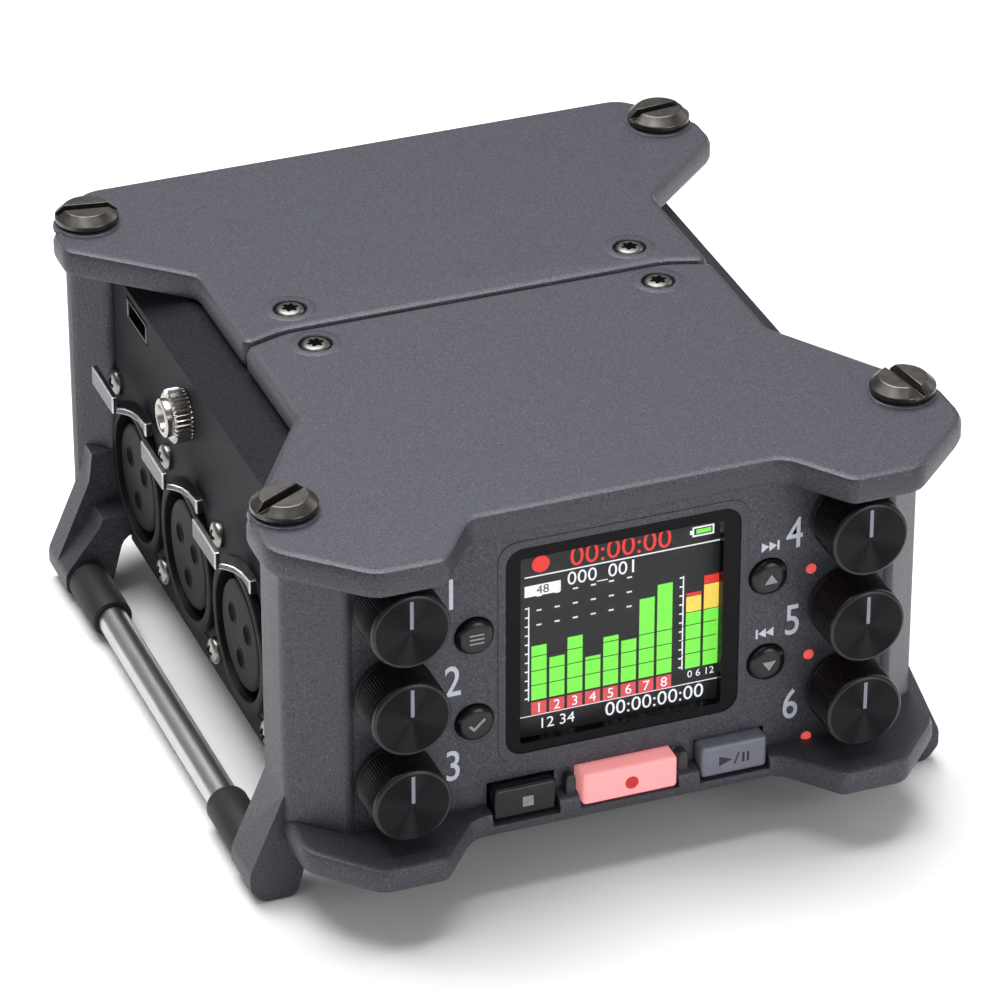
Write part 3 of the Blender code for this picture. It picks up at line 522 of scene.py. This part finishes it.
# rubber stops beside the record key
bumper = {"x": {"Left": -7.9, "Right": 8.9}, "halfX": 0.75, "halfZ": 2.2, "out": 1.5, "thick": 1.6,
          "edge": 0.3}
t = np.linspace(0, 2 * math.pi, 24, endpoint=False)
squareX = np.sign(np.cos(t)) * np.abs(np.cos(t)) ** 0.5
squareZ = np.sign(np.sin(t)) * np.abs(np.sin(t)) ** 0.5
for label, x in bumper["x"].items():
    outline = np.stack([x + bumper["halfX"] * squareX, keyZ + bumper["halfZ"] * squareZ], -1)
    points, faces = flatShape(outline, wallY - bumper["out"], bumper["thick"])
    piece = put("recordStop" + label, points, faces, stopRubber, "body")
    bevelled(piece, bumper["edge"], 3)
print("keys ready")

# numbers beside the knobs, skip signs above the right buttons, status lamps
tally = {"size": 6.9, "bold": 0.04, "squeeze": 0.76, "proud": 0.01,
         "places": [("1", -25.0, 48.1), ("2", -24.8, 34.2), ("3", -24.8, 20.5),
                    ("4", 25.6, 47.0), ("5", 25.6, 33.0), ("6", 25.6, 19.1)]}
front = wallY - tally["proud"]
parts = [letters(text, tally["size"], x, z, front, bold=tally["bold"], squeeze=tally["squeeze"])
         for text, x, z in tally["places"]]
points, faces = gather(parts)
put("knobNumbers", points, faces, printPale, "body", smooth=False)
skip = {"x": 21.7, "rows": ((1, 45.9), (-1, 32.0)), "start": 0.1, "step": 1.15, "half": 0.75,
        "bar": (1.3, 1.62), "proud": 0.03, "thick": 0.06}
front, thick, half = wallY - skip["proud"], skip["thick"], skip["half"]
parts = []
for s, z in skip["rows"]:
    for k in (-1, 0):
        a = skip["x"] + s * (k * skip["step"] + skip["start"])
        parts.append(flatShape([(a, z - half), (a + skip["step"] * s, z), (a, z + half)], front, thick))
    x0, x1 = sorted(skip["x"] + s * edge for edge in skip["bar"])
    parts.append(slabs([(x0, x1, front, front + thick, z - half, z + half)]))
points, faces = gather(parts)
put("skipSigns", points, faces, printPale, "body", smooth=False)
status = {"x": 28.2, "heights": (41.0, 27.0, 13.4), "radius": 0.78, "rise": 0.5, "back": -0.3}
profile = [*dome(status["radius"], 0.0, status["rise"], 6), (status["radius"], status["back"]),
           (0, status["back"])]
for k, z in enumerate(status["heights"]):
    points, faces = turnedGrid(profile, (status["x"], wallY, z), "-Y", 32)
    put(f"statusLamp{k + 1}", points, faces, lampRed, "body")
print("front marks ready")

# display window: black border, painted lip and clear pane; depths are measured from the front wall
window = {"x": 0.2, "z": 36.9, "halfX": 17.3, "halfZ": 16.5, "round": 2.6, "depth": (0.1, 1.5),
          "opening": (-14.9, 15.0, 21.9, 51.6), "openingRound": 0.5,
          "lip": 1.15, "lipRound": 2.7, "lipDepth": (-0.12, 0.5), "lipEdge": 0.1,
          "paneX": (-15.0, 15.1), "paneZ": (21.8, 51.7), "paneDepth": (0.3, 0.5)}
x0, x1 = window["x"] - window["halfX"], window["x"] + window["halfX"]
z0, z1 = window["z"] - window["halfZ"], window["z"] + window["halfZ"]
wider = window["lip"]
opening = roundedBox(*window["opening"], window["openingRound"])
border = roundedBox(x0, x1, z0, z1, window["round"])
lip = roundedBox(x0 - wider, x1 + wider, z0 - wider, z1 + wider, window["lipRound"])
points, faces = ringSolid(border, opening, *(wallY + depth for depth in window["depth"]))
piece = put("windowBorder", points, faces, borderBlack, "body", smooth=False)
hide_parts("lcd_window")
points, faces = ringSolid(lip, border, *(wallY + depth for depth in window["lipDepth"]))
piece = put("windowLip", points, faces, castPaint, "body", smooth=False)
bevelled(piece, window["lipEdge"])
paneY = [wallY + depth for depth in window["paneDepth"]]
points, faces = slabs([(*window["paneX"], *paneY, *window["paneZ"])])
put("windowPane", points, faces, glassClear, "body", smooth=False, repair=False)

# screen: a plain level meter with its own numbers, placed by shares (u, v) of the screen's width and height
screen = {"x0": -13.9, "x1": 15.5, "z0": 21.4, "z1": 50.6, "y": -45.97, "lift": 0.05, "foot": 0.005,
          "textLift": 0.06, "topLift": 0.09, "stepLift": 0.07}


def onScreen(u, v):
    wide, tall = screen["x1"] - screen["x0"], screen["z1"] - screen["z0"]
    return screen["x0"] + u * wide, screen["z0"] + v * tall


def screenSlab(u0, u1, v0, v1, lift=screen["lift"]):
    (xa, za), (xb, zb) = onScreen(u0, v0), onScreen(u1, v1)
    return (xa, xb, screen["y"] - lift, screen["y"] - screen["foot"], za, zb)


def screenText(text, size, u, v, align="CENTER", lift=screen["textLift"]):
    x, z = onScreen(u, v)
    return letters(text, size, x, z, screen["y"] - lift, 0.02, align)


meter = {"left": 0.055, "pitch": 0.0905, "width": 0.076, "base": 0.19, "boxes": (0.105, 0.178),
         "bars": (0.49, 0.41, 0.50, 0.37, 0.46, 0.42, 0.63, 0.69),
         "dashes": (0.60, 0.68, 0.76), "dash": (0.025, 0.05, 0.008), "dashed": 6, "dashClear": 0.04,
         "number": 2.2, "numberV": 0.141, "steps": (0.27, 0.35, 0.43), "step": (0.05, 0.99, 0.004)}
width, base = meter["width"], meter["base"]
green, boxes, dashes, numbers = [], [], [], []
for k, top in enumerate(meter["bars"]):
    u = meter["left"] + k * meter["pitch"]
    green.append(screenSlab(u, u + width, base, top))
    boxes.append(screenSlab(u, u + width, *meter["boxes"]))
    numbers.append(screenText(str(k + 1), meter["number"], u + width / 2, meter["numberV"],
                              lift=screen["topLift"]))
    start, end, high = meter["dash"]
    dashes += [screenSlab(u + start, u + end, v, v + high) for v in meter["dashes"]
               if v > top + meter["dashClear"] and k < meter["dashed"]]
# two mixed levels at the right: green, then yellow, then a red peak of its own height
mixed = {"greenTop": 0.50, "yellowFoot": 0.505, "yellowPast": 0.04, "redFoot": 0.045,
         "levels": ((0.835, 0.55, 0.06), (0.925, 0.60, 0.09))}
yellow, reds = [], []
for u, top, peak in mixed["levels"]:
    green.append(screenSlab(u, u + width, base, mixed["greenTop"]))
    yellow.append(screenSlab(u, u + width, mixed["yellowFoot"], top + mixed["yellowPast"]))
    reds.append(screenSlab(u, u + width, top + mixed["redFoot"], top + peak))
points, faces = slabs(yellow)
put("screenPeaks", points, faces, screenYellow, "body", smooth=False, repair=False)
counter = {"text": "00:00:00", "size": 4.4, "u": 0.50, "v": 0.935, "dotU": 0.10, "dotSink": 0.02,
           "dot": [(0, 0.03), (1.3, 0.03), (1.3, 0.0), (0, 0.0)]}
x, z = onScreen(counter["dotU"], counter["v"])
points, faces = gather([slabs(reds), screenText(counter["text"], counter["size"], counter["u"], counter["v"]),
                        turnedGrid(counter["dot"], (x, screen["y"] - counter["dotSink"], z), "-Y", 32)])
put("screenCounter", points, faces, screenRed, "body", smooth=False)
points, faces = slabs(boxes)
put("screenBoxes", points, faces, screenBox, "body", smooth=False, repair=False)
# white marks: rules, a tag, two scales, a battery sign and plain numbers
white = {"rules": [(0.02, 1.0, 0.870, 0.876), (0.02, 0.20, 0.765, 0.825), (0.0, 1.0, 0.102, 0.106)],
         "tickU": (0.022, 0.800), "tickV": np.linspace(0.20, 0.70, 11), "tick": (0.016, 0.007),
         "scaleU": (0.038, 0.816), "scale": (0.006, 0.19, 0.71),
         "battery": [(0.86, 0.97, 0.915, 0.923), (0.86, 0.97, 0.960, 0.968), (0.86, 0.868, 0.915, 0.968),
                     (0.962, 0.970, 0.915, 0.968), (0.848, 0.86, 0.93, 0.952)],
         "charge": (0.88, 0.955, 0.93, 0.953),
         "texts": [("000_001", 3.0, 0.23, 0.82, "LEFT"), ("00:00:00:00", 3.2, 0.68, 0.05, "CENTER"),
                   ("12 34", 2.4, 0.09, 0.05, "LEFT"), ("0 6 12", 1.6, 0.915, 0.155, "CENTER")]}
long, high = white["tick"]
ticks = [screenSlab(u, u + long, v, v + high) for u in white["tickU"] for v in white["tickV"]]
thin, foot, top = white["scale"]
ticks += [screenSlab(u, u + thin, foot, top) for u in white["scaleU"]]
rules = [screenSlab(*row) for row in white["rules"]]
battery = [screenSlab(*row) for row in white["battery"]]
green.append(screenSlab(*white["charge"]))
points, faces = slabs(green)
put("screenLevels", points, faces, screenGreen, "body", smooth=False, repair=False)
texts = [screenText(*row) for row in white["texts"]]
points, faces = gather([slabs(rules + dashes + ticks + battery), *texts, *numbers])
put("screenMarks", points, faces, screenWhite, "body", smooth=False)
points, faces = screenText("48", 1.9, 0.11, 0.795, lift=screen["topLift"])
put("screenTag", points, faces, darkMark, "body", smooth=False)
# thin dark lines across the bars, as the segments of a meter
start, end, high = meter["step"]
points, faces = slabs([screenSlab(start, end, v, v + high, screen["stepLift"]) for v in meter["steps"]])
put("screenSteps", points, faces, screenBack, "body", smooth=False, repair=False)
print("display ready")

# latch: a plate and a bent arm, each a strip along (out from the panel, along y, height)
latch = {
    "edge": 0.2,
    "plate": {"out": (4.2, 4.2, 4.2, 4.2), "along": (-1.0, 2.0, 6.0, 9.0),
              "height": (37.5, 37.55, 37.6, 37.6), "half": (1.35, 1.45, 1.5, 1.5),
              "wide": (0.9, 0.9, 0.9, 0.9)},
    "arm": {"out": (3.9, 3.0, 2.0, 1.35, 1.1, 1.05, 1.0), "along": (0.4, 0.0, -0.9, -2.4, -4.2, -6.0, -7.0),
            "height": (36.6, 36.62, 36.62, 36.6, 36.55, 36.3, 35.9),
            "half": (0.45, 0.45, 0.45, 0.45, 0.45, 0.7, 1.1), "wide": (2.6, 2.8, 2.8, 2.2, 1.6, 1.3, 1.2)}}


# bentStrip: a four-sided strip along its middle line, with a half height and a width at each point
def bentStrip(side, y, shape):
    out, along, height, half, wide = (np.array(shape[k]) for k in ("out", "along", "height", "half", "wide"))
    slope = np.stack([np.gradient(out), np.gradient(along)], -1)
    slope /= np.linalg.norm(slope, axis=1)[:, None]
    normal = np.stack([slope[:, 1], -slope[:, 0]], -1) * wide[:, None] / 2
    rows = []
    for across, rise in ((1, 1), (1, -1), (-1, -1), (-1, 1)):
        x = side * (panelX + out + across * normal[:, 0])
        rows.append(np.stack([x, y + along + across * normal[:, 1], height + rise * half], -1))
    count = len(out)
    ends = [[0, 1, 2, 3], [4 * count - 4 + k for k in (3, 2, 1, 0)]]
    return np.stack(rows, 1).reshape(-1, 3) * mm, [*gridFaces(count, 4), *ends]


# input sockets: outer ring, deep groove and a core whose three pin holes are dark discs, painted shade, each
# in a rim; screws beside them
socket = {"y": 12.6, "pitch": 23.6, "z": 24.0,
          "profile": [(0, 0.9), (7.3, 0.9), (7.9, 0.8), (8.2, 0.5), (8.2, -5.6), (9.6, -5.6), (9.6, 0.9),
                      (9.75, 1.2), (10.1, 1.3), (10.9, 1.3), (11.25, 1.15), (11.4, 0.85), (11.4, 0.32),
                      (10.6, 0.3), (10.6, -13.0), (0, -13.0)],
          "pinHoleShade": [(0, 0.93), (1.35, 0.93), (1.35, 0.6), (0, 0.6)],
          "rim": [(1.35, 0.85), (1.4, 1.0), (1.62, 1.0), (1.75, 0.85), (1.35, 0.85)],
          "contactRing": 3.8, "contactTurns": (90, 210, 330),
          "screws": ((10.6, 10.6), (-10.2, -10.4)), "head": 2.0, "headFoot": 0.45, "headRise": 0.90,
          "headBack": 0.02, "cross": (0.95, 0.22), "crossDepth": (1.0, 1.36)}
head = [*dome(socket["head"], socket["headFoot"], socket["headRise"], 7),
        (socket["head"], socket["headBack"]), (0, socket["headBack"])]
for number in range(1, 7):
    s = -1 if number < 4 else 1
    along = "X" if s > 0 else "-X"
    x, y, z = s * panelX, socket["y"] + ((number - 1) % 3 - 1) * socket["pitch"], socket["z"]
    points, faces = turnedGrid(socket["profile"], (x, y, z), along, 72)
    piece = put(f"socket{number}Turned", points, faces, socketBlack, "body")
    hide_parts(f"input_socket_{number}")
    ring, turnBy = socket["contactRing"], np.radians(socket["contactTurns"])
    spots = [(x, y + ring * math.cos(a), z - ring * math.sin(a)) for a in turnBy]
    points, faces = gather([turnedGrid(socket["pinHoleShade"], spot, along, 28) for spot in spots])
    put(f"socket{number}PinHoleShades", points, faces, holeShadeBlack, "body")
    points, faces = gather([turnedGrid(socket["rim"], spot, along, 28) for spot in spots])
    put(f"socket{number}Rims", points, faces, socketBlack, "body")
    spots = [(x, y + dy, z + dz) for dy, dz in socket["screws"]]
    points, faces = gather([turnedGrid(head, spot, along, 40) for spot in spots])
    put(f"socket{number}Screws", points, faces, crossSteel, "body")
    # each screw's cross recess is a dark slab: painted shade
    long, short = socket["cross"]
    x0, x1 = sorted(s * (panelX + depth) for depth in socket["crossDepth"])
    points, faces = slabs([(x0, x1, cy - a, cy + a, cz - b, cz + b) for _, cy, cz in spots
                           for a, b in ((long, short), (short, long))])
    put(f"socket{number}Crosses", points, faces, holeShadeBlack, "body", smooth=False)
    points, faces = gather([bentStrip(s, y, latch["plate"]), bentStrip(s, y, latch["arm"])])
    piece = put(f"latch{number}Strip", points, faces, latchSteel, f"latch_{number}", smooth=False)
    # the latch's bevel faces take the bright edge steel, a painted highlight
    bevelled(piece, latch["edge"], paintedEdgeHighlight=latchEdgeHighlight)
    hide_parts(f"latch_{number}")
print("sockets ready")

# line output barrel with a knurled flank, headphone jack opposite it, headphone wheel
lineOut = {"y": 14.0, "z": 46.6, "around": 192, "teeth": 32, "tooth": 0.5, "toothRows": (7, 8, 9, 10),
           "profile": [(1.8, -6.0), (1.8, 3.5), (2.05, 3.8), (2.6, 3.8), (2.85, 3.6), (2.85, 2.8),
                       (3.5, 2.75), (4.0, 2.45), (4.0, 2.35), (4.0, 0.5), (4.0, 0.4), (3.8, 0.1),
                       (3.3, 0.02), (1.8, -6.0)],
           "bore": [(0, -2.0), (1.75, -2.0), (1.75, -2.5), (0, -2.5)]}
at = (-panelX, lineOut["y"], lineOut["z"])
points, faces = turnedGrid(lineOut["profile"], at, "-X", lineOut["around"], lineOut["teeth"],
                           lineOut["tooth"], lineOut["toothRows"])
piece = put("lineOutBarrel", points, faces, nickelBright, "body")
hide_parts("line_out_jack")
# a dark disc down the bore: painted shade of the hole
points, faces = turnedGrid(lineOut["bore"], at, "-X", 40)
put("lineOutBoreShade", points, faces, holeShadeBlack, "body")
headphone = {"profile": [(1.8, -6.0), (1.8, 0.8), (2.0, 1.0), (2.8, 1.0), (3.2, 0.8), (3.4, 0.5), (3.4, -8.8),
                         (1.8, -6.0)]}
at = (panelX, lineOut["y"], lineOut["z"])
points, faces = turnedGrid(headphone["profile"], at, "X", 64)
piece = put("headphoneBarrel", points, faces, socketBlack, "body")
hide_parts("headphone_jack")
# a dark disc down the bore: painted shade of the hole
points, faces = turnedGrid(lineOut["bore"], at, "X", 40)
put("headphoneBoreShade", points, faces, holeShadeBlack, "body")
wheel = {"y": -9.0, "z": 46.6, "around": 216, "teeth": 54, "tooth": 0.16, "toothRows": (4, 5),
         "profile": [(0, 4.9), (3.7, 5.0), (4.1, 4.85), (4.4, 4.4), (4.4, 4.3), (4.4, 1.0), (4.4, 0.9),
                     (4.1, 0.5), (2.2, 0.5), (2.2, -4.9), (0, -4.9)],
         "line": (46.99, 47.05, -9.25, -8.75, 47.6, 50.4)}
points, faces = turnedGrid(wheel["profile"], (panelX, wheel["y"], wheel["z"]), "X", wheel["around"],
                           wheel["teeth"], wheel["tooth"], wheel["toothRows"])
piece = put("wheelFlank", points, faces, knobBlack, "headphone_wheel")
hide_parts("headphone_wheel")
points, faces = slabs([wheel["line"]])
put("wheelLine", points, faces, printPale, "headphone_wheel", smooth=False)
print("ports ready")

# rails with eased ends; sleeve rows are (radius, inset from the sleeve's end)
rail = {"x": 48.9, "z": 3.4, "radius": 2.3, "ease": 0.3}
sleeve = {"end": [(2.35, 0.1), (2.5, 0.0), (2.75, 0.0), (3.0, 0.15), (3.1, 0.5)]}
for side, s in (("left", -1), ("right", 1)):
    lowRail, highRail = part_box(side + "_rail")
    half = (highRail.y - lowRail.y) / mm / 2
    middle = (highRail.y + lowRail.y) / mm / 2
    r, ease = rail["radius"], rail["ease"]
    profile = [(0, half), (r - ease, half), (r, half - ease), (r, -half + ease), (r - ease, -half),
               (0, -half)]
    points, faces = turnedGrid(profile, (s * rail["x"], middle, rail["z"]), "-Y", 48)
    piece = put(side + "RailBar", points, faces, steelRail, "body")
    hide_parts(side + "_rail")
    for end in ("front", "rear"):
        name = f"{side}_{end}_sleeve"
        lowS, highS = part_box(name)
        half = (highS.y - lowS.y) / mm / 2
        middle = (highS.y + lowS.y) / mm / 2
        near = [(r, half - inset) for r, inset in sleeve["end"]]
        far = [(r, -along) for r, along in reversed(near)]
        points, faces = turnedGrid([*near, *far, near[0]], (s * rail["x"], middle, rail["z"]), "-Y", 48)
        piece = put(f"{side}{end.title()}Sleeve", points, faces, rubberBlack, "body")
        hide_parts(name)
print("rails ready")

# thumb screws keep their solids with eased edges; plate screws get a collar and a dark six-point star at the
# head's top, painted shade of a recess
plateScrew = {"seat": 60.05,
              "profile": [(0, 0.88), (1.5, 0.88), (1.85, 0.76), (2.1, 0.45), (2.2, 0.1), (2.2, 0), (1.3, 0),
                          (1.3, -5.2), (0, -5.2)],
              "collar": [(2.45, -0.02), (2.45, 0.62), (2.6, 0.77), (3.75, 0.77), (3.9, 0.7), (3.9, -0.02),
                         (2.45, -0.02)],
              "count": 48, "star": 1.02, "wave": 0.22, "points": 6, "depth": (0.60, 0.92)}
t = np.linspace(0, 2 * math.pi, plateScrew["count"], endpoint=False)
star = plateScrew["star"] + plateScrew["wave"] * np.cos(plateScrew["points"] * t)
for side in ("left", "right"):
    for end in ("front", "rear"):
        softened(f"{side}_{end}_thumb_screw", nickelDark, 0.18, 30.0)
        lowP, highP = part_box(f"{side}_{end}_plate_screw")
        at = ((lowP.x + highP.x) / mm / 2, (lowP.y + highP.y) / mm / 2, plateScrew["seat"])
        points, faces = turnedGrid(plateScrew["profile"], at, "Z", 56)
        piece = put(f"{side}{end.title()}PlateScrew", points, faces, screwSteel, "body")
        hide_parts(f"{side}_{end}_plate_screw")
        points, faces = turnedGrid(plateScrew["collar"], at, "Z", 56)
        put(f"{side}{end.title()}PlateCollar", points, faces, castPaint, "body")
        flat = [at[0] + star * np.cos(t), at[1] + star * np.sin(t)]
        rings = [np.stack([*flat, np.full(len(t), at[2] + depth)], -1) for depth in plateScrew["depth"]]
        points, faces = np.concatenate(rings) * mm, prismFaces(len(t))
        put(f"{side}{end.title()}PlateRecessShade", points, faces, holeShadeBlack, "body", smooth=False)
print("screws ready")

# floor, light and world; seen from below, the floor lets the underside show
stage = {"floor": 6.0, "floorZ": -0.0002, "floorTone": 0.90, "floorRough": 0.9,
         "worldLight": 0.26, "worldSeen": 1.0}
h, z = stage["floor"], stage["floorZ"]
mesh = bpy.data.meshes.new("floor")
mesh.from_pydata([(-h, -h, z), (h, -h, z), (h, h, z), (-h, h, z)], [], [(0, 1, 2, 3)])
floor = bpy.data.objects.new("floor", mesh)
bpy.context.scene.collection.objects.link(floor)
floorLook, floorShader = finishStart("floorPaper", (stage["floorTone"],) * 3, 0.0, stage["floorRough"])
clear = node(floorLook, "ShaderNodeBsdfTransparent")
under = node(floorLook, "ShaderNodeNewGeometry")
either = node(floorLook, "ShaderNodeMixShader")
join(floorLook, under.outputs["Backfacing"], either.inputs["Fac"])
join(floorLook, floorShader.outputs["BSDF"], either.inputs[1])
join(floorLook, clear.outputs["BSDF"], either.inputs[2])
join(floorLook, either.outputs["Shader"], floorLook.node_tree.nodes["Material Output"].inputs["Surface"])
mesh.materials.append(floorLook)

world = bpy.data.worlds.new("studio")
bpy.context.scene.world = world
world.use_nodes = True
back = world.node_tree.nodes["Background"]
rays = node(world, "ShaderNodeLightPath")
strength = node(world, "ShaderNodeMapRange")
strength.inputs["To Min"].default_value = stage["worldLight"]
strength.inputs["To Max"].default_value = stage["worldSeen"]
join(world, rays.outputs["Is Camera Ray"], strength.inputs["Value"])
join(world, strength.outputs["Result"], back.inputs["Strength"])
back.inputs["Color"].default_value = (1, 1, 1, 1)

# each lamp: place, aim, size, power
lamps = {
    "topSoft": ((-0.05, 0.25, 0.95), (0.0, 0.0, 0.03), 0.9, 18.0),
    "leftKey": ((-0.85, -0.55, 0.75), (0.0, -0.01, 0.03), 0.5, 0.4),
    "frontFill": ((0.45, -1.0, 0.45), (0.0, -0.03, 0.03), 0.6, 4.0),
    "rightRim": ((0.9, 0.3, 0.5), (0.03, 0.0, 0.04), 0.4, 1.0),
}
for name, (place, aim, size, power) in lamps.items():
    lamp = bpy.data.lights.new(name, "AREA")
    lamp.size = size
    lamp.energy = power
    holder = bpy.data.objects.new(name, lamp)
    holder.location = place
    holder.rotation_euler = (Vector(aim) - Vector(place)).to_track_quat("-Z", "Y").to_euler()
    bpy.context.scene.collection.objects.link(holder)
print("stage ready")

bpy.context.view_layer.update()
